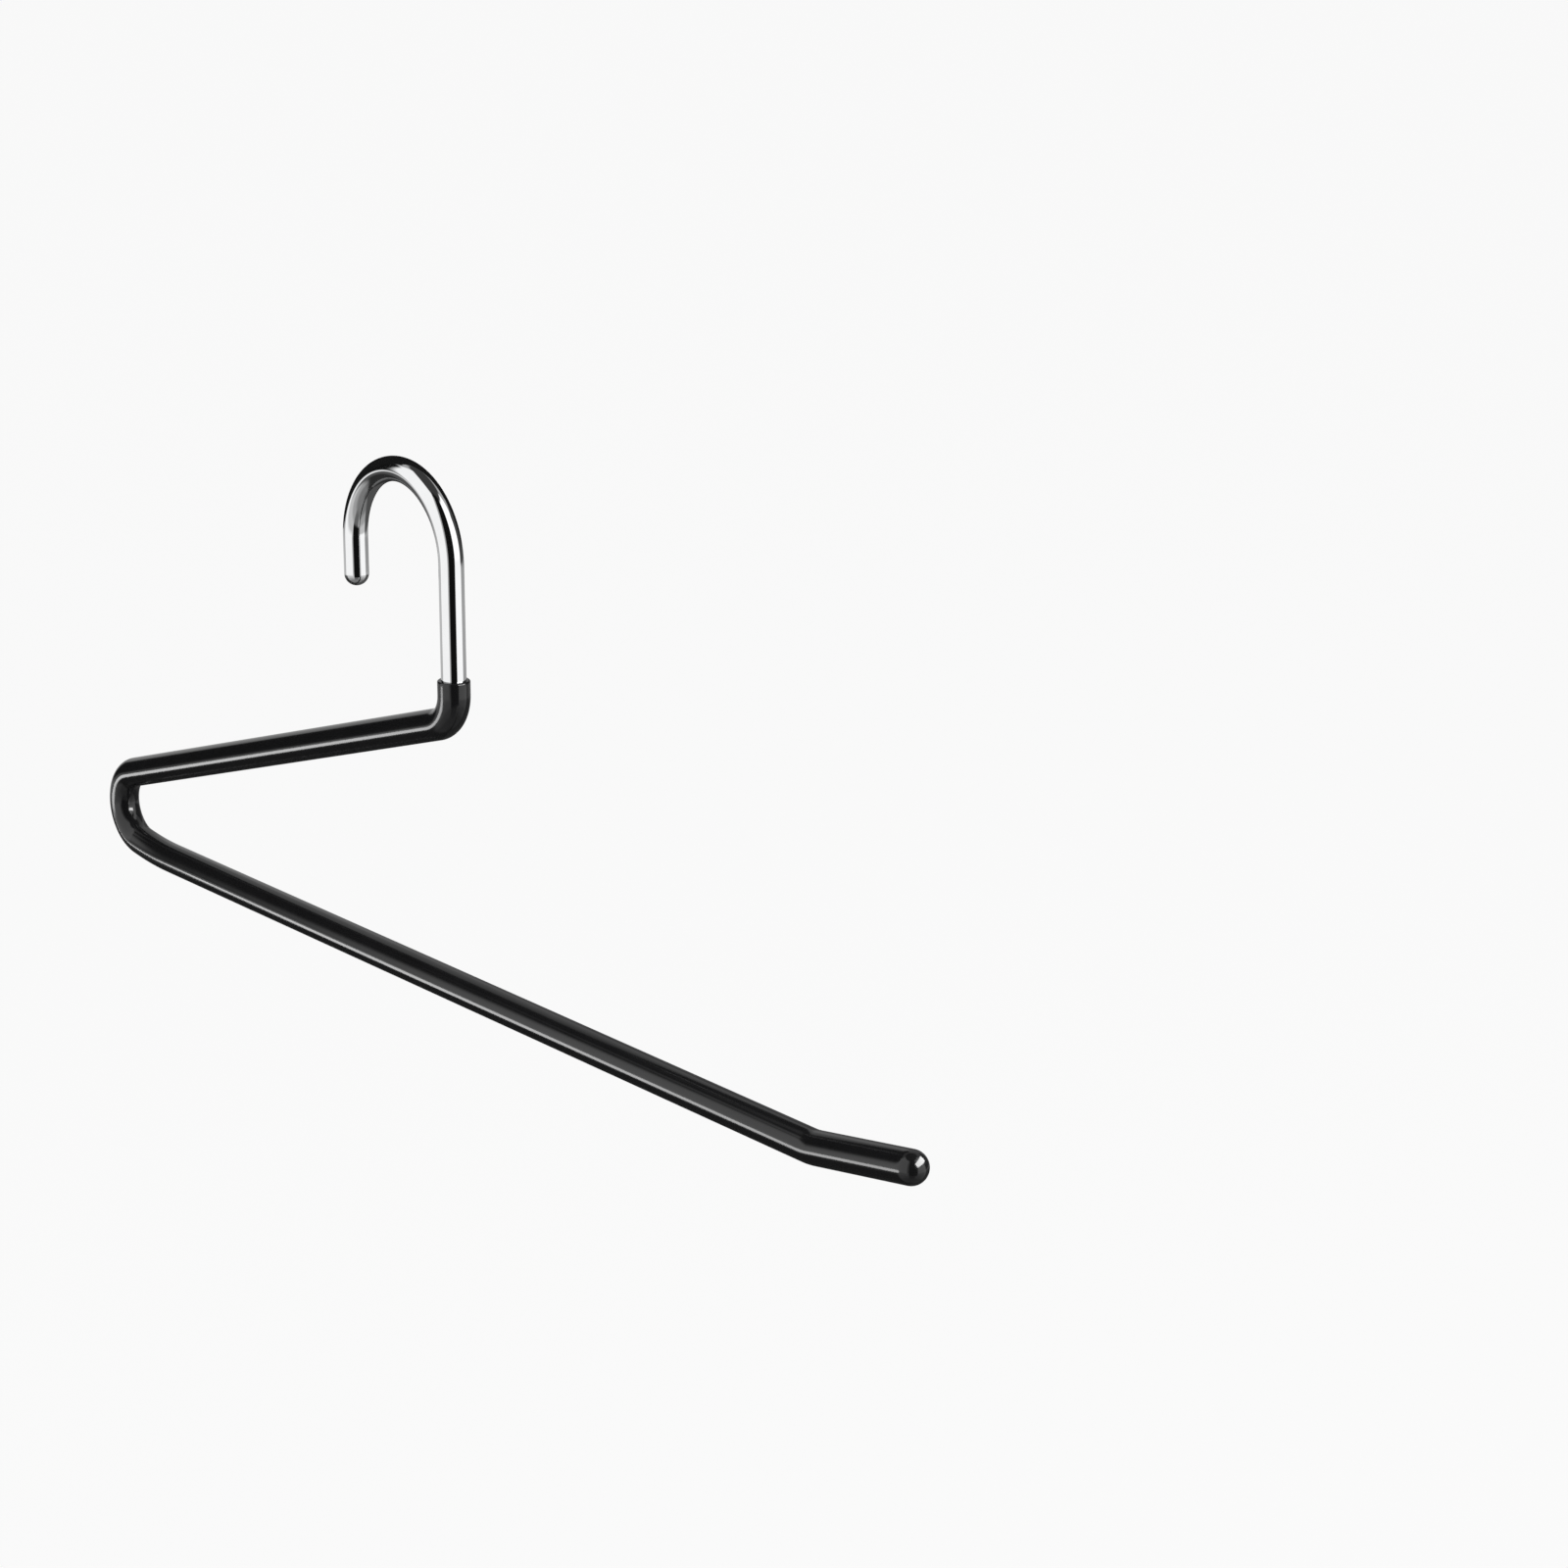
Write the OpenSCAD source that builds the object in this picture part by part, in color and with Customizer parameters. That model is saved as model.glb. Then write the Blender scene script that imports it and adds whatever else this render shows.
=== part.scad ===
// Z-shaped trousers hanger: one bent chrome-plated rod with a black grip sleeve over its lower part.
// The hook hangs by its saddle, which is the origin. +Z is up, +X runs towards the open tip, and
// +Y runs across the hanger's thickness. The whole rod lies in the plane y = 0.

/* [Rod] */
// Diameter of the plated rod
wire_d = 6.6; // [4:0.1:8]
// How much thinner the rod draws where it is bent
bend_draw = 0.01; // [0.005:0.005:0.05]

/* [Hook] */
// Width inside the hook
hook_opening = 36; // [28:0.5:44]
// Straight length of the free leg below the hook's half circle
hook_tail = 10; // [4:0.5:14]

/* [Arm] */
// Height from the saddle down to the corner where stem and arm would meet
elbow_drop = 59.5; // [54:0.5:75]
// Radius of the elbow along the rod's centre line
elbow_r = 10; // [7:0.5:14]
// Distance from the stem's axis back to the centre of the hairpin
arm_reach = 157.8; // [120:0.1:180]
// Radius of the hairpin along the rod's centre line
hairpin_r = 10.8; // [8:0.1:15]
// Straight rod between the hairpin and the gentle bend that eases it into the bar
hairpin_land = 1.5; // [1:0.1:3]
// Radius of the gentle bend along the rod's centre line
ease_r = 110; // [60:1:160]
// Angle of the gentle bend
ease_turn = 8; // [4:0.5:12]

/* [Bar] */
// Height from the saddle down to the bar's axis
bar_drop = 132.8; // [115:0.2:160]
// Length from the hairpin's centre to the corner where bar and tip would meet
bar_length = 297.8; // [220:0.1:330]
// Angle by which the tip turns up from the bar
knee_turn = 10; // [4:0.5:20]
// Radius of the knee along the rod's centre line
knee_r = 20; // [10:1:30]
// Length from the knee's corner to the end of the sleeve's dome
tip_length = 37.9; // [25:0.1:50]

/* [Sleeve] */
// Wall of the sleeve
sleeve_wall = 1; // [0.6:0.1:1.6]
// Gap between the rod and the sleeve's bore
sleeve_fit = 0.03; // [0.02:0.01:0.1]
// Straight sleeve on the stem above the elbow
sleeve_collar = 3.8; // [2:0.1:12]
// Rounding of the sleeve's rim, inside its wall
rim_round = 0.4; // [0.1:0.05:0.5]

/* [Hidden] */
$fn = 64;

sleeve_d = wire_d + 2 * sleeve_wall;

// The hook: a half circle whose inner face touches the saddle at the origin
hook_r = (hook_opening + wire_d) / 2;
hook_centre_drop = hook_opening / 2;

// Height of the hairpin's centre over the bar's axis, and how far from it the straight bar starts
hairpin_rise = ease_r * (1 - cos(ease_turn)) + hairpin_land * sin(ease_turn)
    + hairpin_r * cos(ease_turn);
ease_reach = (ease_r - hairpin_r) * sin(ease_turn) + hairpin_land * cos(ease_turn);

// The arm runs from the elbow's corner down to a tangent of the hairpin
hairpin_centre_fall = bar_drop - hairpin_rise - elbow_drop;
corner_to_hairpin = norm([arm_reach, hairpin_centre_fall]);
arm_slope = atan2(hairpin_centre_fall, arm_reach) - asin(hairpin_r / corner_to_hairpin);
arm_corner_length = sqrt(pow(corner_to_hairpin, 2) - pow(hairpin_r, 2));

// Each bend takes this much of the straight lengths on both sides of its corner
elbow_turn = 90 - arm_slope;
elbow_tangent = elbow_r * tan(elbow_turn / 2);
knee_tangent = knee_r * tan(knee_turn / 2);

// The centre line as a walk of straight runs and bends, from the hook's free end to the tip.
// A bend turns to the left where its angle is positive, seen from -Y with +X to the right.
function run(length) = [length, 0, 0];
function bend(radius, turn) = [0, radius, turn];

WALK = [
    ["tail", run(hook_tail)],
    ["hook", bend(hook_r, -180)],
    ["stem", run(elbow_drop - elbow_tangent - hook_centre_drop)],
    ["elbow", bend(elbow_r, -elbow_turn)],
    ["arm", run(arm_corner_length - elbow_tangent)],
    ["hairpin", bend(hairpin_r, 180 - arm_slope - ease_turn)],
    ["land", run(hairpin_land)],
    ["ease", bend(ease_r, ease_turn)],
    ["bar", run(bar_length - ease_reach - knee_tangent)],
    ["knee", bend(knee_r, knee_turn)],
    ["tip", run(tip_length - knee_tangent - sleeve_d / 2)]
];

// A bend laps this far into the runs beside it
bend_lap = 0.1;

// The frame at the end of a step, seen from the frame at its start
module past(step) {
    swing = [0, sign(step[2]) * step[1]];
    translate([step[0], 0])
        translate(swing)
            rotate(step[2])
                translate(-swing)
                    children();
}

// The frame at the start of a named step, seen from the hook's free end
module at_step(name, i = 0) {
    if (WALK[i][0] == name)
        children();
    else
        past(WALK[i][1])
            at_step(name, i + 1)
                children();
}

// The turn that lays an upright shape along +X. Runs and bends all start their circles on the
// left of the walk, so that the edges of neighbours match.
ALONG_WALK = [90, 0, 90];

// A profile in [radius, length] turned about +X
module turned() {
    rotate(ALONG_WALK)
        rotate_extrude()
            children();
}

// A straight run, along +X from the origin
module straight(d, length) {
    rotate(ALONG_WALK)
        cylinder(d = d, h = length);
}

// A straight run that ends in a dome past its length
module domed(d, length) {
    turned()
        intersection() {
            union() {
                square([d / 2, length]);
                translate([0, length])
                    circle(d = d);
            }
            square([d, length + d]);
        }
}

// A straight run whose far rim is rounded
module rimmed(d, length, round) {
    turned() {
        square([d / 2, length - round]);
        square([d / 2 - round, length]);
        translate([d / 2 - round, length - round])
            circle(r = round);
    }
}

// A bend, which starts at the origin heading along +X. The rod draws a hair thinner there.
module bent(d, radius, turn) {
    lap_turn = bend_lap / radius * 180 / PI;
    mirror([0, turn < 0 ? 1 : 0, 0])
        translate([0, radius])
            rotate(-90 - lap_turn)
                rotate_extrude(angle = abs(turn) + 2 * lap_turn)
                    translate([radius, 0])
                        rotate(turn > 0 ? 180 : 0)
                            circle(d = d - bend_draw);
}

// Step i of a rod and all that follows it, seen from the start of step i
module rest_of_rod(d, i) {
    step = WALK[i][1];
    if (i == len(WALK) - 1)
        domed(d, step[0]);
    else {
        if (step[2] == 0)
            straight(d, step[0]);
        else
            bent(d, step[1], step[2]);
        past(step)
            rest_of_rod(d, i + 1);
    }
}

// A rod of diameter d along the walk, from a named step to the dome at the tip
module rod(d, first) {
    at_step(first)
        rest_of_rod(d, search([first], WALK)[0]);
}

// Stands the walk up in the plane y = 0, with the hook's free leg rising towards the crown
module standing() {
    rotate([90, 0, 0])
        translate([-hook_r, -hook_centre_drop - hook_tail])
            rotate(90)
                children();
}

// The continuous rod. Its free leg is drawn back from the hook, so that its dome is the free end.
module hanger_wire() {
    color("silver")
        standing() {
            at_step("hook")
                mirror([1, 0, 0])
                    domed(wire_d, hook_tail);
            rod(wire_d, "hook");
        }
}

// The closed sleeve, from its rim on the stem to its dome. The bore leaves through the rim, up
// the whole bare stem, and ends blind under the dome.
module grip_sleeve() {
    color("#17181a")
        standing()
            difference() {
                union() {
                    at_step("elbow")
                        mirror([1, 0, 0])
                            rimmed(sleeve_d, sleeve_collar, rim_round);
                    rod(sleeve_d, "elbow");
                }
                rod(wire_d + 2 * sleeve_fit, "stem");
            }
}

hanger_wire();
grip_sleeve();
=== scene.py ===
"""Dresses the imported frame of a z-shaped trousers hanger: a chrome-plated rod and its black grip sleeve.

All lengths are metres and all points are in the CAD frame. The hook's saddle is the origin, +Z is
up, and +X runs towards the open tip. The hanger's centre line lies in the plane y = 0.
"""

import math

import bpy
from mathutils import Matrix, Vector


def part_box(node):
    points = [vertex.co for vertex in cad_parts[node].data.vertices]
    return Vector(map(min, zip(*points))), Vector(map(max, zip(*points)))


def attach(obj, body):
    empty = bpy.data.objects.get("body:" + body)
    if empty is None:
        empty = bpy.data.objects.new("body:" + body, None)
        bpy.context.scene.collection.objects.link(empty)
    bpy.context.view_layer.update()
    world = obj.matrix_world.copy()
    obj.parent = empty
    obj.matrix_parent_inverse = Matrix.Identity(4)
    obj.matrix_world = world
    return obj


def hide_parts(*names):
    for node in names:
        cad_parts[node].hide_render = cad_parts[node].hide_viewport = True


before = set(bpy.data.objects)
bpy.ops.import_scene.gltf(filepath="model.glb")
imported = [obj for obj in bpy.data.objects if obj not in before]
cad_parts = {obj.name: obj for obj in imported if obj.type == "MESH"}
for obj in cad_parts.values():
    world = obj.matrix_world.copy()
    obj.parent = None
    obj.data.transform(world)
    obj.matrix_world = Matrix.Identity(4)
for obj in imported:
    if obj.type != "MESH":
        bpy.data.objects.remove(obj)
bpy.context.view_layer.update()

bl_info = {
    "name": "Z-shaped trousers hanger",
    "version": (1, 0, 0),
    "blender": (4, 5, 0),
    "location": "View3D > Sidebar > Hanger",
    "description": "Builds the chrome rod and the grip sleeve of a z-shaped trousers hanger",
    "category": "Add Mesh",
}

MM = 0.001
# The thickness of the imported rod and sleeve
ROD_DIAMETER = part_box("hanger_wire")[1].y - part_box("hanger_wire")[0].y
SLEEVE_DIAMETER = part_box("grip_sleeve")[1].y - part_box("grip_sleeve")[0].y


# What a user would change


def length(name, description, default, low, high):
    """A length property, in metres."""
    return bpy.props.FloatProperty(
        name=name,
        description=description,
        default=default,
        min=low,
        max=high,
        unit="LENGTH",
        subtype="DISTANCE",
        precision=5,
    )


def angle(name, description, degrees, low, high):
    """An angle property, given in degrees and kept in radians."""
    return bpy.props.FloatProperty(
        name=name,
        description=description,
        default=math.radians(degrees),
        min=math.radians(low),
        max=math.radians(high),
        unit="ROTATION",
        subtype="ANGLE",
    )


def share(name, description, default):
    """A number from 0 to 1."""
    return bpy.props.FloatProperty(
        name=name, description=description, default=default, min=0, max=1, subtype="FACTOR"
    )


def colour(name, description, default):
    """A linear colour."""
    return bpy.props.FloatVectorProperty(
        name=name, description=description, default=default, size=3, min=0, max=1, subtype="COLOR"
    )


class HangerShape(bpy.types.PropertyGroup):
    """The sizes of the rod and its sleeve"""

    rod_diameter: length("Rod", "Diameter of the plated rod", ROD_DIAMETER, 4 * MM, 8 * MM)
    sleeve_diameter: length("Sleeve", "Diameter over the sleeve", SLEEVE_DIAMETER, 5 * MM, 11 * MM)
    sleeve_fit: length("Fit", "Gap between the rod and the sleeve's bore", 0.03 * MM, 0, 0.1 * MM)
    sleeve_collar: length("Collar", "Straight sleeve above the elbow", 3.8 * MM, 2 * MM, 12 * MM)
    rim_round: length("Rim", "Rounding of the sleeve's rim", 0.4 * MM, 0.1 * MM, 0.5 * MM)
    hook_opening: length("Hook", "Width inside the hook", 36 * MM, 28 * MM, 44 * MM)
    hook_tail: length("Tail", "Straight end of the hook's free leg", 10 * MM, 4 * MM, 14 * MM)
    elbow_drop: length("Elbow drop", "Saddle to the elbow's corner", 59.5 * MM, 54 * MM, 75 * MM)
    elbow_radius: length("Elbow", "Elbow radius on the centre line", 10 * MM, 7 * MM, 14 * MM)
    arm_reach: length("Reach", "Stem to the hairpin's centre", 157.8 * MM, 120 * MM, 180 * MM)
    hairpin_radius: length("Hairpin", "Hairpin radius on the centre line", 10.8 * MM, 8 * MM, 15 * MM)
    hairpin_land: length("Land", "Straight rod past the hairpin", 1.5 * MM, 1 * MM, 3 * MM)
    ease_radius: length("Ease", "Radius of the bend that eases the bar", 110 * MM, 60 * MM, 160 * MM)
    ease_turn: angle("Ease turn", "Angle of the bend that eases the bar", 8, 4, 12)
    bar_drop: length("Bar drop", "Saddle to the bar's axis", 132.8 * MM, 115 * MM, 160 * MM)
    bar_length: length("Bar", "Hairpin's centre to the knee's corner", 297.8 * MM, 220 * MM, 330 * MM)
    knee_radius: length("Knee", "Knee radius on the centre line", 20 * MM, 10 * MM, 30 * MM)
    knee_turn: angle("Knee turn", "Angle by which the tip turns up", 10, 4, 20)
    tip_length: length("Tip", "Knee's corner to the end of the dome", 37.9 * MM, 25 * MM, 50 * MM)


class HangerFinish(bpy.types.PropertyGroup):
    """The colours and gloss of the two finishes"""

    chrome_colour: colour("Chrome", "Colour of the plating", (0.8, 0.805, 0.81))
    chrome_roughness: share("Chrome roughness", "Roughness of the clean plating", 0.035)
    sleeve_colour: colour("Sleeve", "Colour of the sleeve", (0.0085, 0.0085, 0.009))
    sleeve_roughness: share("Sleeve roughness", "Roughness of the clean sleeve", 0.13)


class HangerStage(bpy.types.PropertyGroup):
    """The floor and the light"""

    floor_drop: length("Floor", "Saddle to the floor", 0.9, 0.2, 2)
    floor_colour: colour("Floor colour", "Colour of the floor", (0.86, 0.86, 0.855))
    key_power: bpy.props.FloatProperty(
        name="Key", description="Power of the key lamp", default=22, min=0, max=200, unit="POWER"
    )


# The centre line

RUN, BEND = "run", "bend"


def hook_radius(shape):
    """The radius of the hook's half circle on the centre line."""
    return (shape.hook_opening + shape.rod_diameter) / 2


def walk(shape):
    """The centre line's steps from the hook's free leg to the tip: (name, kind, length or radius, turn).

    A turn is in radians, and positive to the left, seen from -Y with +X to the right.
    """
    sine, cosine = math.sin(shape.ease_turn), math.cos(shape.ease_turn)
    slack = shape.ease_radius - shape.hairpin_radius
    # The height of the hairpin's centre over the bar, and how far from it the straight bar starts
    rise = shape.ease_radius - slack * cosine + shape.hairpin_land * sine
    reach = slack * sine + shape.hairpin_land * cosine
    fall = shape.bar_drop - rise - shape.elbow_drop
    to_hairpin = math.hypot(shape.arm_reach, fall)
    slope = math.atan2(fall, shape.arm_reach) - math.asin(shape.hairpin_radius / to_hairpin)
    elbow_turn = math.pi / 2 - slope
    elbow_tangent = shape.elbow_radius * math.tan(elbow_turn / 2)
    knee_tangent = shape.knee_radius * math.tan(shape.knee_turn / 2)
    arm = math.sqrt(to_hairpin**2 - shape.hairpin_radius**2) - elbow_tangent
    stem = shape.elbow_drop - elbow_tangent - shape.hook_opening / 2
    tip = shape.tip_length - knee_tangent - shape.sleeve_diameter / 2
    return [
        ("tail", RUN, shape.hook_tail, 0),
        ("hook", BEND, hook_radius(shape), -math.pi),
        ("stem", RUN, stem - shape.sleeve_collar, 0),
        ("collar", RUN, shape.sleeve_collar, 0),
        ("elbow", BEND, shape.elbow_radius, -elbow_turn),
        ("arm", RUN, arm, 0),
        ("hairpin", BEND, shape.hairpin_radius, math.pi - slope - shape.ease_turn),
        ("land", RUN, shape.hairpin_land, 0),
        ("ease", BEND, shape.ease_radius, shape.ease_turn),
        ("bar", RUN, shape.bar_length - reach - knee_tangent, 0),
        ("knee", BEND, shape.knee_radius, shape.knee_turn),
        ("tip", RUN, tip, 0),
    ]


class Place:
    """A point of the centre line and the way ahead there."""

    def __init__(self, point, heading):
        self.point = Vector(point)
        self.heading = heading

    @property
    def ahead(self):
        return Vector((math.cos(self.heading), 0, math.sin(self.heading)))

    @property
    def left(self):
        return Vector((-math.sin(self.heading), 0, math.cos(self.heading)))

    def bend_centre(self, radius, turn):
        return self.point + self.left * math.copysign(radius, turn)

    def past(self, step):
        """The place at the end of a step that starts here."""
        _, kind, size, turn = step
        if kind == RUN:
            return Place(self.point + self.ahead * size, self.heading)
        end = Place(self.point, self.heading + turn)
        end.point = self.bend_centre(size, turn) - end.left * math.copysign(size, turn)
        return end


def places(shape):
    """The steps of the centre line, each with the place where it starts, and the last place."""
    start = (-hook_radius(shape), 0, -shape.hook_opening / 2 - shape.hook_tail)
    place = Place(start, math.pi / 2)
    found = []
    for step in walk(shape):
        found.append((step, place))
        place = place.past(step)
    return found, place


def backwards(steps):
    """The same steps as they are met on the way back."""
    return [(name, kind, size, -turn) for name, kind, size, turn in reversed(steps)]


# Drawing a tube in edit mode

RING_SIDES = 96
DOME_RINGS = 12
# Rings over the rounded rim of the sleeve
RIM_RINGS = 6
# A bend has one ring for each of these turns
BEND_STEP = math.radians(1.25)
# Straight runs have one more ring this far from their ends, which keeps their shading straight
END_BAND = 0.8 * MM
# Vertices closer than this are merged
JOIN = 0.0005 * MM
SMOOTH_ANGLE = math.radians(50)
# The attribute that holds each vertex's place on the straightened rod
STRAIGHTENED = "straightened"


def dome_turn(ring):
    """The angle from a dome's start to one of its rings."""
    return math.pi / 2 * ring / DOME_RINGS


class Tube:
    """A tube that grows in edit mode behind one open ring, starting from the pole of a dome."""

    def __init__(self, name, pole, heading, radius):
        self.radius = radius
        first = dome_turn(1)
        self.place = Place(pole, heading)
        self.place.point += self.place.ahead * radius * (1 - math.cos(first))
        bpy.ops.object.select_all(action="DESELECT")
        bpy.ops.mesh.primitive_circle_add(
            vertices=RING_SIDES,
            radius=radius * math.sin(first),
            fill_type="NOTHING",
            location=self.place.point,
            rotation=(0, math.pi / 2 - heading, 0),
        )
        self.object = bpy.context.active_object
        self.object.name = self.object.data.name = name
        bpy.ops.object.transform_apply(location=True, rotation=True, scale=True)
        bpy.ops.object.mode_set(mode="EDIT")
        bpy.ops.mesh.select_mode(type="EDGE")
        bpy.ops.mesh.select_all(action="SELECT")
        self.close(-radius * (1 - math.cos(first)))
        bpy.ops.mesh.select_non_manifold(extend=False)
        for ring in range(2, DOME_RINGS + 1):
            turn, before = dome_turn(ring), dome_turn(ring - 1)
            self.step(
                radius * (math.cos(before) - math.cos(turn)), math.sin(turn) / math.sin(before)
            )

    def step(self, forward, scale=1):
        """Extrudes the ring forward and then scales it about the centre line."""
        move = self.place.ahead * forward
        bpy.ops.mesh.extrude_region_move(TRANSFORM_OT_translate={"value": move})
        self.place.point += move
        if scale != 1:
            bpy.ops.transform.resize(value=(scale,) * 3, center_override=self.place.point)

    def close(self, forward):
        """Extrudes the ring forward and merges it into a pole."""
        bpy.ops.mesh.extrude_region_move(
            TRANSFORM_OT_translate={"value": self.place.ahead * forward}
        )
        bpy.ops.mesh.merge(type="CENTER")

    def follow(self, step):
        """Draws the ring along one step of the centre line."""
        _, kind, size, turn = step
        if kind == RUN:
            band = min(END_BAND, size / 3)
            for part in (band, size - 2 * band, band):
                self.step(part)
            return
        end = self.place.past(step)
        bpy.ops.mesh.spin(
            steps=math.ceil(abs(turn) / BEND_STEP),
            angle=abs(turn),
            center=self.place.bend_centre(size, turn),
            axis=(0, math.copysign(1, turn), 0),
        )
        self.place = end

    def dome(self):
        """Closes the tube's end with a dome of its own radius."""
        for ring in range(1, DOME_RINGS):
            turn, before = dome_turn(ring), dome_turn(ring - 1)
            self.step(
                self.radius * (math.sin(turn) - math.sin(before)), math.cos(turn) / math.cos(before)
            )
        self.close(self.radius * (1 - math.sin(dome_turn(DOME_RINGS - 1))))

    def finished(self):
        """Merges doubles, turns the faces outwards and shades the tube smooth."""
        bpy.ops.mesh.select_all(action="SELECT")
        bpy.ops.mesh.remove_doubles(threshold=JOIN)
        bpy.ops.mesh.normals_make_consistent(inside=False)
        bpy.ops.object.mode_set(mode="OBJECT")
        bpy.ops.object.shade_smooth_by_angle(angle=SMOOTH_ANGLE)
        self.object.select_set(False)
        return self.object


def straightened(obj, shape):
    """Stores where each vertex would be if the rod were straight: (length along it, side, height).

    Patterns that run along the rod read this attribute.
    """
    steps, _ = places(shape)
    table = []
    along = 0
    for step, place in steps:
        _, kind, size, turn = step
        reach = size if kind == RUN else size * abs(turn)
        table.append((step, place, along, reach))
        along += reach
    last = len(table) - 1
    attribute = obj.data.attributes.new(STRAIGHTENED, "FLOAT_VECTOR", "POINT")
    for vertex, stored in zip(obj.data.vertices, attribute.data):
        best = None
        for index, ((_, kind, size, turn), place, start, reach) in enumerate(table):
            if kind == RUN:
                offset = vertex.co - place.point
                ahead = offset.dot(place.ahead)
                low = 0 if index else -math.inf
                high = reach if index < last else math.inf
                here = min(max(ahead, low), high)
                side = offset.dot(place.left)
                miss = abs(ahead - here)
            else:
                arm = vertex.co - place.bend_centre(size, turn)
                outward = -place.left * math.copysign(1, turn)
                swept = math.atan2(arm.dot(place.ahead), arm.dot(outward))
                here = min(max(swept, 0), abs(turn)) * size
                distance = math.hypot(arm.x, arm.z)
                side = (size - distance) * math.copysign(1, turn)
                miss = abs(swept * size - here)
            error = math.hypot(miss, side)
            if best is None or error < best[0]:
                best = (error, (start + here, side, vertex.co.y))
        stored.vector = best[1]


# Shader maths

# The sockets of a Mix node that hold colours
MIX_FIRST_COLOUR, MIX_SECOND_COLOUR = 6, 7
MIX_COLOUR = 2


class Number:
    """A number in a node tree. Python's operators add Math nodes to it."""

    def __init__(self, tree, socket):
        self.tree = tree
        self.socket = socket

    def math(self, operation, *others):
        node = self.tree.node(
            "ShaderNodeMath", {"operation": operation}, dict(enumerate((self, *others)))
        )
        return Number(self.tree, node.outputs[0])

    def swapped(self, operation, other):
        node = self.tree.node("ShaderNodeMath", {"operation": operation}, {0: other, 1: self})
        return Number(self.tree, node.outputs[0])

    def __add__(self, other):
        return self.math("ADD", other)

    def __sub__(self, other):
        return self.math("SUBTRACT", other)

    def __mul__(self, other):
        return self.math("MULTIPLY", other)

    def __rsub__(self, other):
        return self.swapped("SUBTRACT", other)

    __radd__ = __add__
    __rmul__ = __mul__

    def ramp(self, low, high):
        """Smoothly from 0 at low to 1 at high."""
        node = self.tree.node(
            "ShaderNodeMapRange",
            {"interpolation_type": "SMOOTHSTEP"},
            {"Value": self, "From Min": low, "From Max": high},
        )
        return Number(self.tree, node.outputs["Result"])


class Tree:
    """The node tree of a material or a world."""

    def __init__(self, owner):
        owner.use_nodes = True
        self.tree = owner.node_tree
        self.tree.nodes.clear()

    def node(self, kind, settings=None, sockets=None):
        """Adds a node, sets its settings, and then sets or links its sockets."""
        node = self.tree.nodes.new(kind)
        for name, value in (settings or {}).items():
            setattr(node, name, value)
        for name, value in (sockets or {}).items():
            if isinstance(value, Number):
                value = value.socket
            if isinstance(value, bpy.types.NodeSocket):
                self.tree.links.new(value, node.inputs[name])
            else:
                node.inputs[name].default_value = value
        return node

    def noise(self, place, scale, detail=2.0, roughness=0.5):
        """Noise from 0 to 1 with a number of cells per metre."""
        node = self.node(
            "ShaderNodeTexNoise",
            {"noise_dimensions": "3D"},
            {"Vector": place, "Scale": scale, "Detail": detail, "Roughness": roughness},
        )
        return Number(self, node.outputs[0])

    def stretched_noise(self, place, scales, detail=2.0, roughness=0.5):
        """Noise whose cells per metre differ along the three axes."""
        node = self.node("ShaderNodeVectorMath", {"operation": "MULTIPLY"}, {0: place, 1: scales})
        return self.noise(node.outputs[0], 1, detail, roughness)

    def seen(self):
        """1 where the camera sees a surface or a sky itself, also through glass, and otherwise 0."""
        rays = self.node("ShaderNodeLightPath")
        return Number(self, rays.outputs["Is Camera Ray"]).math(
            "MAXIMUM", Number(self, rays.outputs["Is Transmission Ray"])
        )

    def axes(self, place):
        """The three axes of a place, as numbers."""
        apart = self.node("ShaderNodeSeparateXYZ", None, {0: place})
        return [Number(self, output) for output in apart.outputs]

    def blend(self, first, second, amount):
        """A colour between two colours."""
        node = self.node(
            "ShaderNodeMix",
            {"data_type": "RGBA"},
            {"Factor": amount, MIX_FIRST_COLOUR: first, MIX_SECOND_COLOUR: second},
        )
        return node.outputs[MIX_COLOUR]

    def bump(self, height, distance, normal=None):
        sockets = {"Height": height, "Distance": distance, "Strength": 1.0}
        if normal is not None:
            sockets["Normal"] = normal
        return self.node("ShaderNodeBump", None, sockets).outputs["Normal"]

    def surface(self, shader):
        self.node("ShaderNodeOutputMaterial", None, {"Surface": shader})


# Finishes

# Cells of the patterns for each metre, along the rod, across it and over its thickness
DRAWN_LINES = (30, 9000, 9000)
PLATING_WAVES = (60, 220, 220)
SCUFF_MARKS = (900, 6000, 240)
DIE_LINES = (40, 2600, 2600)
# Cells of the patterns that are the same all ways
CHROME_CLOUDS = 160
SLEEVE_CLOUDS = 120
ORANGE_PEEL = 500
DUST = 5200
# How deep the bumps are
WAVE_DEPTH = 0.004 * MM
LINE_DEPTH = 0.0006 * MM
PEEL_DEPTH = 0.002 * MM
DIE_DEPTH = 0.0003 * MM
# What the plating's roughness gains from its clouds, drawn lines and scuffs
CLOUD_HAZE, LINE_HAZE, SCUFF_HAZE = 0.02, 0.02, 0.22
# What the sleeve's roughness gains from its clouds and dust, and loses everywhere for them
SLEEVE_HAZE, DUST_HAZE, HAZE_BALANCE = 0.05, 0.2, 0.02
# How much less the drawn lines stand out than the scuffs
LINE_SHARE = 0.35
# How far the scuffs reach into the rod from the hook's inner face
SCUFFS_FADE, SCUFFS_END = 0.5 * MM, 1.8 * MM
# How much darker the plating's clouds are, and how much paler the sleeve's clouds and its dust
CHROME_CLOUD_SHADE = 0.93
SLEEVE_CLOUD_SHADE = 1.5
DUST_SHADE = 4


def opaque(rgb):
    return (*rgb, 1)


def shaded(rgb, shade):
    """A colour made darker or paler."""
    return opaque([channel * shade for channel in rgb])


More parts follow.
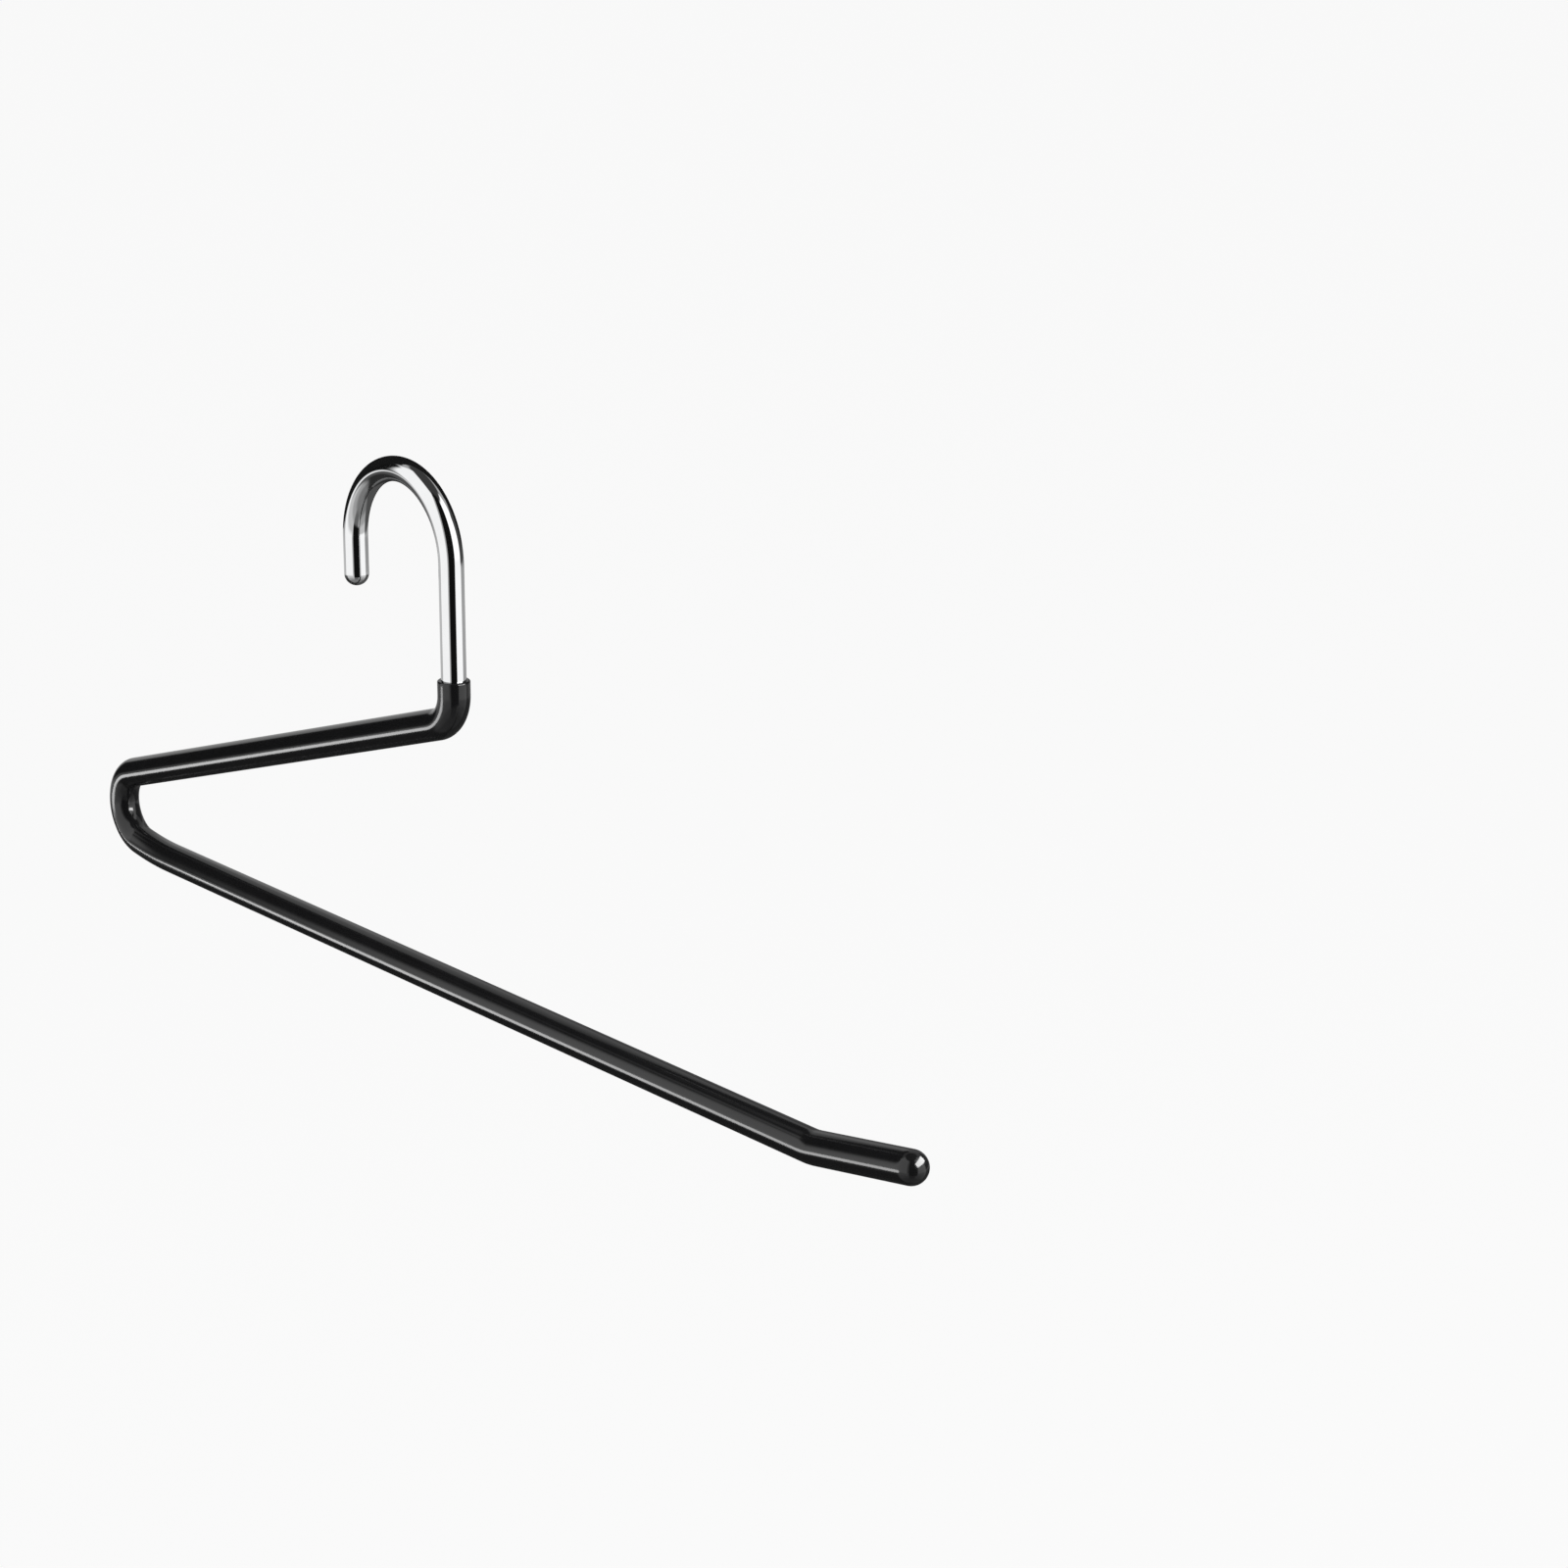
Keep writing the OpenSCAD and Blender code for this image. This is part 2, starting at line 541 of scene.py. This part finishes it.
def chrome(finish, shape):
    """Bright plating over a drawn wire: faint lines along it, soft clouds, and scuffs in the hook."""
    material = bpy.data.materials.new("polished_chrome")
    tree = Tree(material)
    along = tree.node("ShaderNodeAttribute", {"attribute_name": STRAIGHTENED}).outputs["Vector"]
    lines = tree.stretched_noise(along, DRAWN_LINES, 3, 0.6)
    clouds = tree.noise(along, CHROME_CLOUDS, 3)
    waves = tree.stretched_noise(along, PLATING_WAVES, 1)
    x, _, z = tree.axes(tree.node("ShaderNodeTexCoord").outputs["Object"])
    # Scuffs lie on the inner face of the hook's crown and fade out down its sides
    inner = shape.hook_opening / 2
    from_centre = (x * x + (z + inner) * (z + inner)).math("SQRT")
    contact = 1 - from_centre.ramp(inner + SCUFFS_FADE, inner + SCUFFS_END)
    contact = contact * z.ramp(-inner * 0.9, -inner * 0.3)
    scuffs = tree.stretched_noise(along, SCUFF_MARKS, 4, 0.7).ramp(0.5, 0.68) * contact
    roughness = finish.chrome_roughness + clouds * CLOUD_HAZE + lines * LINE_HAZE
    roughness = roughness + scuffs * SCUFF_HAZE
    clean = finish.chrome_colour
    tint = tree.blend(opaque(clean), shaded(clean, CHROME_CLOUD_SHADE), clouds)
    normal = tree.bump(waves, WAVE_DEPTH)
    normal = tree.bump(lines * LINE_SHARE + scuffs, LINE_DEPTH, normal)
    shader = tree.node(
        "ShaderNodeBsdfPrincipled",
        None,
        {"Base Color": tint, "Metallic": 1.0, "Roughness": roughness, "Normal": normal},
    )
    tree.surface(shader.outputs[0])
    return material


def sleeve_skin(finish):
    """Soft moulded skin: black and glossy, with an orange peel, die lines and a breath of dust."""
    material = bpy.data.materials.new("black_soft_sleeve")
    tree = Tree(material)
    along = tree.node("ShaderNodeAttribute", {"attribute_name": STRAIGHTENED}).outputs["Vector"]
    peel = tree.noise(along, ORANGE_PEEL)
    die_lines = tree.stretched_noise(along, DIE_LINES)
    clouds = tree.noise(along, SLEEVE_CLOUDS, 4, 0.6)
    dust = tree.noise(along, DUST, 3, 0.7).ramp(0.66, 0.8) * clouds
    clean = finish.sleeve_colour
    tint = tree.blend(opaque(clean), shaded(clean, SLEEVE_CLOUD_SHADE), clouds)
    tint = tree.blend(tint, shaded(clean, DUST_SHADE), dust * 0.5)
    roughness = finish.sleeve_roughness + clouds * SLEEVE_HAZE + dust * DUST_HAZE - HAZE_BALANCE
    normal = tree.bump(peel, PEEL_DEPTH)
    normal = tree.bump(die_lines, DIE_DEPTH, normal)
    shader = tree.node(
        "ShaderNodeBsdfPrincipled",
        None,
        {"Base Color": tint, "Roughness": roughness, "IOR": 1.5, "Normal": normal},
    )
    tree.surface(shader.outputs[0])
    return material


def dress(obj, material, node):
    """Gives a piece its finish and ties it to the CAD frame."""
    obj.data.materials.clear()
    obj.data.materials.append(material)
    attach(obj, "root")
    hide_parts(node)


# Operators

ROD = "chrome_rod"
SLEEVE = "grip_sleeve_skin"


class HANGER_OT_rod(bpy.types.Operator):
    """Draw the plated rod from its free end over the hook and on to the tip"""

    bl_idname = "hanger.rod"
    bl_label = "Chrome rod"

    def execute(self, context):
        shape = context.scene.hanger_shape
        found, _ = places(shape)
        steps = [step for step, _ in found]
        start = found[0][1]
        radius = shape.rod_diameter / 2
        tube = Tube(ROD, start.point - start.ahead * radius, start.heading, radius)
        for step in steps:
            tube.follow(step)
        tube.dome()
        rod = tube.finished()
        straightened(rod, shape)
        dress(rod, chrome(context.scene.hanger_finish, shape), "hanger_wire")
        return {"FINISHED"}


class HANGER_OT_sleeve(bpy.types.Operator):
    """Draw the sleeve from its dome back to its rim, and its bore from there to its blind end"""

    bl_idname = "hanger.sleeve"
    bl_label = "Grip sleeve"

    def execute(self, context):
        shape = context.scene.hanger_shape
        found, end = places(shape)
        names = [step[0] for step, _ in found]
        covered = [step for step, _ in found][names.index("collar") :]
        radius = shape.sleeve_diameter / 2
        bore = shape.rod_diameter / 2 + shape.sleeve_fit
        rim = shape.rim_round
        tube = Tube(SLEEVE, end.point + end.ahead * radius, end.heading + math.pi, radius)
        for step in backwards(covered[1:]):
            tube.follow(step)
        tube.follow(("collar", RUN, shape.sleeve_collar - rim, 0))
        # Round the rim over and step down to the bore
        before = radius
        for part in range(1, RIM_RINGS + 1):
            turn = math.pi / 2 * part / RIM_RINGS
            last = math.pi / 2 * (part - 1) / RIM_RINGS
            after = radius - rim * (1 - math.cos(turn))
            tube.step(rim * (math.sin(turn) - math.sin(last)), after / before)
            before = after
        tube.step(0, bore / before)
        # Turn round and line the bore
        tube.place.heading += math.pi
        tube.radius = bore
        for step in covered:
            tube.follow(step)
        tube.dome()
        skin = tube.finished()
        straightened(skin, shape)
        dress(skin, sleeve_skin(context.scene.hanger_finish), "grip_sleeve")
        return {"FINISHED"}


class HANGER_OT_stage(bpy.types.Operator):
    """Set up the floor, the studio's light and the camera"""

    bl_idname = "hanger.stage"
    bl_label = "Stage"

    def execute(self, context):
        stage = context.scene.hanger_stage
        floor(stage)
        studio(context.scene)
        dark_card()
        key_lamp(stage)
        for lamp, brightness in SLEEVE_LAMPS:
            sleeve_lamp(lamp, brightness)
        camera(context.scene)
        context.scene.view_settings.view_transform = "Standard"
        return {"FINISHED"}


# Stage

WHITE = (1, 1, 1)
FLOOR_SIZE = 60
# The share of the floor's brightness that the camera sees even in shadow
FLOOR_GLOW = 0.88
# The even light that reaches dull surfaces from all round
AMBIENT = 0.6

# The studio's directions are counted from this azimuth, which lies in front of the hanger
FRONT = math.radians(-35)
ALL_ROUND = 360
# What shines back from polished surfaces: the walls' brightness, and zones of other brightness by
# direction, with later ones over earlier ones:
# (azimuth from, to, elevation from, to, softness of the edge, brightness), in degrees
WALLS = 0.45
ZONES = [
    # The walls behind, the ground and the dark ceiling
    (-180, -118, -20, 22, 6, 0.62),
    (-180, 180, -100, -17, 6, 0.09),
    (-180, -100, -100, -31, 6, 0.03),
    (-180, -135, 40, 60, 6, 0.28),
    (155, 176, -24, 22, 6, 0.17),
    (-180, 180, 58, 100, 6, 0.05),
    # The light that fades down below the windows
    (-96, 96, -80, -15, 20, 0.23),
    (-96, 96, -48, -15, 14, 0.42),
    (-96, 96, -32, -15, 8, 0.66),
    (-22, 20, -52, -22, 12, 0.15),
    # The two windows
    (-111.5, -33, -18, 61, 6, 1.15),
    (34, 94.5, -18, 62, 6, 1.45),
    (34, 94.5, -18, -5, 6, 1.2),
    # The dark flags between and beyond them
    (-22.6, 32, -31, 70, 6, 0.006),
    (-150, -107, -11, 33, 6, 0.008),
    (-147, -117, 22, 45, 6, 0.008),
    (89, 146, -12, 34, 6, 0.07),
]
# The brightness of the sky that the camera sees, which is the floor's
SKY = 0.945


def floor(stage):
    """A plain pale floor, which the camera sees nearly white and which still takes the shadow."""
    bpy.ops.mesh.primitive_plane_add(size=FLOOR_SIZE, location=(0, 0, -stage.floor_drop))
    obj = bpy.context.active_object
    obj.name = "floor"
    obj.visible_glossy = False
    material = bpy.data.materials.new("pale_floor")
    tree = Tree(material)
    dull = tree.node("ShaderNodeBsdfDiffuse", None, {"Color": opaque(stage.floor_colour)})
    glow = tree.node("ShaderNodeEmission", None, {"Color": opaque(WHITE), "Strength": 1.0})
    shader = tree.node(
        "ShaderNodeMixShader",
        None,
        {0: tree.seen() * FLOOR_GLOW, 1: dull.outputs[0], 2: glow.outputs[0]},
    )
    tree.surface(shader.outputs[0])
    obj.data.materials.append(material)


def studio(scene):
    """A world that is white to the camera, even to dull surfaces, and zoned in reflections."""
    world = bpy.data.worlds.new("studio")
    scene.world = world
    tree = Tree(world)
    x, y, z = tree.axes(tree.node("ShaderNodeTexCoord").outputs["Generated"])
    azimuth = y.math("ARCTAN2", x)
    elevation = z.math("ARCSINE")
    shine = WALLS
    for az_from, az_to, el_from, el_to, softness, brightness in ZONES:
        half = math.radians(softness) / 2
        low, high = math.radians(el_from), math.radians(el_to)
        mask = elevation.ramp(low - half, low + half)
        mask = mask * (1 - elevation.ramp(high - half, high + half))
        if az_to - az_from < ALL_ROUND:
            middle = math.radians(az_from + az_to) / 2 + FRONT
            reach = math.radians(az_to - az_from) / 2
            away = (azimuth - middle).math("COSINE").math("ARCCOSINE")
            mask = mask * (1 - away.ramp(reach - half, reach + half))
        shine = shine + mask * (brightness - shine)
    glossy = Number(tree, tree.node("ShaderNodeLightPath").outputs["Is Glossy Ray"])
    strength = glossy * (shine - AMBIENT) + AMBIENT
    strength = strength + tree.seen() * (SKY - strength)
    background = tree.node(
        "ShaderNodeBackground", None, {"Color": opaque(WHITE), "Strength": strength}
    )
    tree.node("ShaderNodeOutputWorld", None, {"Surface": background.outputs[0]})


# The dark card behind the hook: how far behind it, its sides from there and its height, in metres
CARD_BEHIND = 0.035
CARD_LEFT, CARD_RIGHT = 0.066, 0.1
CARD_BOTTOM, CARD_TOP = -0.02, 0.08
CARD_GREY = 0.01


def dark_card():
    """A dark card close behind the hook, which only shows in its plating, along the outer edge."""
    back = FRONT + math.pi
    away = Vector((math.cos(back), math.sin(back), 0))
    right = Vector((away.y, -away.x, 0))
    middle = away * CARD_BEHIND + right * (CARD_RIGHT - CARD_LEFT) / 2
    middle.z = (CARD_BOTTOM + CARD_TOP) / 2
    bpy.ops.mesh.primitive_plane_add(
        size=1, location=middle, rotation=(math.pi / 2, 0, FRONT + math.pi / 2)
    )
    obj = bpy.context.active_object
    obj.name = "dark_card"
    obj.scale = (CARD_LEFT + CARD_RIGHT, CARD_TOP - CARD_BOTTOM, 1)
    bpy.ops.object.transform_apply(location=True, rotation=True, scale=True)
    for rays in ("camera", "diffuse", "transmission", "volume_scatter", "shadow"):
        setattr(obj, f"visible_{rays}", False)
    material = bpy.data.materials.new("dark_card")
    tree = Tree(material)
    grey = tree.node("ShaderNodeEmission", None, {"Strength": CARD_GREY})
    tree.surface(grey.outputs[0])
    obj.data.materials.append(material)


def area_lamp(name, target, azimuth, elevation, distance, width, height, roll):
    """An area lamp that shines on a point from a direction. Its angles are in degrees."""
    azimuth, elevation = math.radians(azimuth), math.radians(elevation)
    level = math.cos(elevation)
    towards = Vector(
        (level * math.cos(azimuth), level * math.sin(azimuth), math.sin(elevation))
    )
    lamp = bpy.data.lights.new(name, "AREA")
    lamp.shape = "RECTANGLE"
    lamp.size, lamp.size_y = width, height
    obj = bpy.data.objects.new(name, lamp)
    obj.location = Vector(target) + towards * distance
    facing = (-towards).to_track_quat("-Z", "Y").to_matrix()
    obj.rotation_euler = (facing @ Matrix.Rotation(math.radians(roll), 3, "Z")).to_euler()
    obj.visible_camera = False
    bpy.context.scene.collection.objects.link(obj)
    return obj


# The lamps, in metres and degrees:
# (name, point that it shines on, azimuth and elevation from there, distance, width, height, roll)
KEY_LAMP = ("key_lamp", (0, 0, 0), 35, 48, 2.4, 1.4, 1.0, 0)
TIP_LAMP = ("tip_lamp", (0.194, 0, -0.127), 35.5, 36, 0.2, 0.286, 0.108, 0)
STRIP_LAMP = ("strip_lamp", (0.02, 0, -0.133), -137, -20.4, 6, 3.2, 1.1, 12)
# The lamps whose glints the sleeve's gloss shows, each with its brightness
SLEEVE_LAMPS = [(TIP_LAMP, 17), (STRIP_LAMP, 6.0)]


def key_lamp(stage):
    """A soft lamp high on the right, which casts the shadow."""
    obj = area_lamp(*KEY_LAMP)
    obj.data.energy = stage.key_power
    obj.visible_glossy = False


def sleeve_lamp(lamp, brightness):
    """A lamp that only shows as a glint on the sleeve, and that the floor doesn't hide."""
    obj = area_lamp(*lamp)
    obj.data.energy = brightness * math.pi * obj.data.size * obj.data.size_y
    obj.visible_diffuse = False
    lit = bpy.data.collections.new(obj.name)
    lit.objects.link(bpy.data.objects[SLEEVE])
    obj.light_linking.receiver_collection = lit
    obj.light_linking.blocker_collection = lit


# The camera's own right, up and back, and where it stands
CAMERA_RIGHT = (0.66115383, 0.75021932, 0.00682488)
CAMERA_UP = (-0.22523268, 0.18979961, 0.95563923)
CAMERA_BACK = (0.71564366, -0.63336173, 0.29446065)
CAMERA_AT = (0.714892, -0.500165, 0.186456)
# The lens and the sensor, in millimetres
CAMERA_LENS = 78.761
SENSOR = 36
CLIP_START, CLIP_END = 0.01, 100


def camera(scene):
    """The camera, in front of the hanger and past its open tip, looking a little down."""
    data = bpy.data.cameras.new("camera")
    data.lens = CAMERA_LENS
    data.sensor_width = SENSOR
    data.clip_start, data.clip_end = CLIP_START, CLIP_END
    obj = bpy.data.objects.new("camera", data)
    scene.collection.objects.link(obj)
    columns = Matrix((CAMERA_RIGHT, CAMERA_UP, CAMERA_BACK)).transposed()
    obj.matrix_world = Matrix.Translation(CAMERA_AT) @ columns.to_4x4()
    scene.camera = obj


# The add-on


class HANGER_PT_panel(bpy.types.Panel):
    """The hanger's pieces, sizes and finishes"""

    bl_label = "Trousers hanger"
    bl_idname = "HANGER_PT_panel"
    bl_space_type = "VIEW_3D"
    bl_region_type = "UI"
    bl_category = "Hanger"

    def draw(self, context):
        layout = self.layout
        for operator in (HANGER_OT_rod, HANGER_OT_sleeve, HANGER_OT_stage):
            layout.operator(operator.bl_idname)
        for group in (
            context.scene.hanger_shape,
            context.scene.hanger_finish,
            context.scene.hanger_stage,
        ):
            box = layout.box()
            for name in group.__annotations__:
                box.prop(group, name)


CLASSES = (
    HangerShape,
    HangerFinish,
    HangerStage,
    HANGER_OT_rod,
    HANGER_OT_sleeve,
    HANGER_OT_stage,
    HANGER_PT_panel,
)


def register():
    for cls in CLASSES:
        bpy.utils.register_class(cls)
    bpy.types.Scene.hanger_shape = bpy.props.PointerProperty(type=HangerShape)
    bpy.types.Scene.hanger_finish = bpy.props.PointerProperty(type=HangerFinish)
    bpy.types.Scene.hanger_stage = bpy.props.PointerProperty(type=HangerStage)


def unregister():
    del bpy.types.Scene.hanger_stage
    del bpy.types.Scene.hanger_finish
    del bpy.types.Scene.hanger_shape
    for cls in reversed(CLASSES):
        bpy.utils.unregister_class(cls)


def main():
    register()
    bpy.ops.hanger.rod()
    bpy.ops.hanger.sleeve()
    bpy.ops.hanger.stage()


if __name__ == "__main__":
    main()
